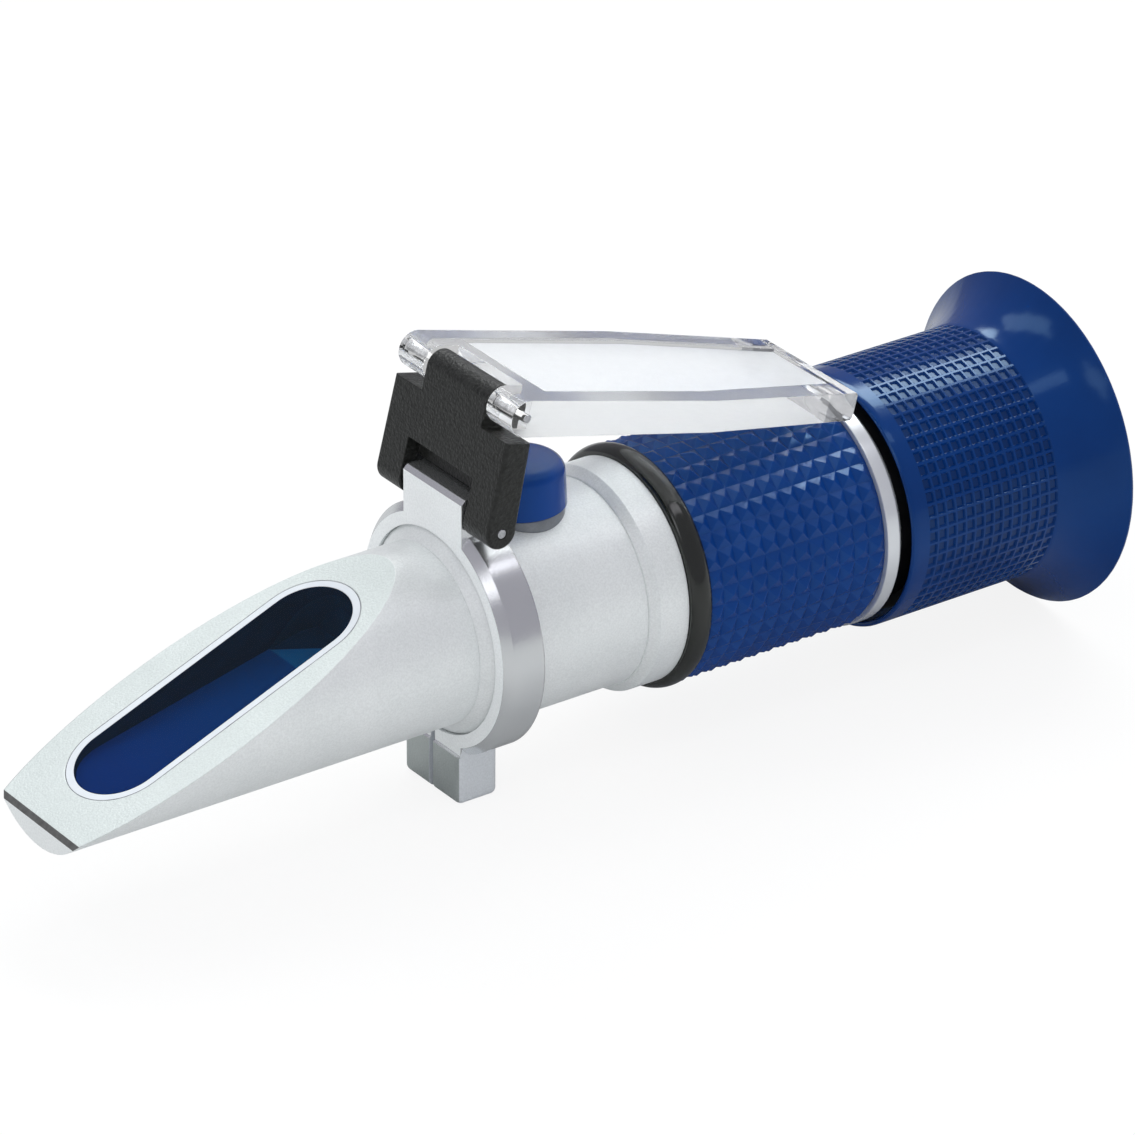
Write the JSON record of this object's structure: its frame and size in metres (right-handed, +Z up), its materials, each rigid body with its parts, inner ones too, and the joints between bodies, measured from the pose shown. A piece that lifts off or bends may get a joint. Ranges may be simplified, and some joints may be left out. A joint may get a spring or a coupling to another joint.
{
  "type": "handheld refractometer",
  "caption": "Tubular handheld refractometer with a sloping prism window, a fold-back hinged daylight plate, ribbed rubber grip and a turning rubber eyecup.",
  "frame": {"origin": "on the table plane, under the middle of the instrument's length, in its plane of symmetry", "axes": "+X along the optical axis from the prism nose to the eyecup, +Z up, +Y across"},
  "size_m": [0.1334, 0.0392, 0.0502],
  "materials": {
    "satin_alloy": "satin sand-blasted and clear anodised",
    "bright_alloy": "fine turned, bright",
    "dark_alloy": "black anodised, matt",
    "steel": "polished steel",
    "bimetal": "rolled strip",
    "black_plastic": "moulded black plastic with a fine spark texture",
    "blue_rubber": "deep blue rubber, satin",
    "black_rubber": "black rubber",
    "grey_seal": "grey sealing compound, smooth",
    "clear_acrylic": "clear acrylic with a frosted recess",
    "prism_glass": "polished optical glass",
    "lens_glass": "polished lens glass"
  },
  "bodies": {
    "barrel": {"prism_housing": "satin_alloy", "prism_seal": "grey_seal", "measuring_prism": "prism_glass", "light_stop": "black_plastic", "front_tube": "satin_alloy", "clamp_ring": "bright_alloy", "clamp_screw": "steel", "arm_pin": "steel", "calibration_boss": "bright_alloy", "strip_anchor": "dark_alloy", "main_tube": "satin_alloy", "grip_o_ring": "black_rubber", "grip_sleeve": "blue_rubber", "rear_ring": "bright_alloy", "objective_cell": "dark_alloy", "objective_lens": "lens_glass", "objective_retainer": "black_plastic", "reticle": "lens_glass", "reticle_ring": "black_plastic", "ocular_barrel": "dark_alloy"},
    "hinge_arm": {"hinge_arm": "black_plastic", "plate_pin": "steel"},
    "daylight_plate": {"daylight_plate": "clear_acrylic"},
    "compensator": {"compensator_cell": "dark_alloy", "compensator_lens": "lens_glass", "bimetal_strip": "bimetal"},
    "calibration_screw": {"calibration_screw": "steel"},
    "calibration_cap": {"calibration_cap": "blue_rubber"},
    "lens_carriage": {"lens_cell": "dark_alloy", "field_lens": "lens_glass", "lens_spacer": "black_plastic", "eye_lens": "lens_glass", "lens_retainer": "black_plastic"},
    "focus_sleeve": {"focus_sleeve": "dark_alloy", "eyecup": "blue_rubber", "snap_ring": "steel"}
  },
  "joints": [
    {"name": "arm_pivot", "type": "hinge", "parent": "barrel", "child": "hinge_arm", "pos_m": [-0.01427, 0, 0.0353], "axis": [0, -1, 0], "range_deg": [0, 124.53]},
    {"name": "plate_pivot", "type": "hinge", "parent": "hinge_arm", "child": "daylight_plate", "pos_m": [-0.01099, 0, 0.04809], "axis": [0, -1, 0], "range_deg": [0, 92.86]},
    {"name": "focus_slide", "type": "slide", "parent": "barrel", "child": "lens_carriage", "axis": [1, 0, 0], "range_m": [-0.0015, 0.0015]},
    {"name": "focus_turn", "type": "hinge", "parent": "lens_carriage", "child": "focus_sleeve", "pos_m": [0.03818, 0, 0.0196], "axis": [1, 0, 0], "range_deg": [-180, 180]},
    {"name": "compensator_slide", "type": "slide", "parent": "barrel", "child": "compensator", "axis": [0, 0, 1], "range_m": [-0.00035, 0.00035]},
    {"name": "calibration_turn", "type": "hinge", "parent": "compensator", "child": "calibration_screw", "pos_m": [-0.00447, 0, 0.0196], "axis": [0, 0, 1], "range_deg": [-180, 180]},
    {"name": "cap_pull", "type": "slide", "parent": "barrel", "child": "calibration_cap", "axis": [0, 0, 1], "range_m": [0, 0.004]}
  ],
  "couplings": [
    {"joint": "focus_turn", "follows": "focus_slide", "rad_per_m": 2094.2},
    {"joint": "calibration_turn", "follows": "compensator_slide", "rad_per_m": 8975.1}
  ]
}
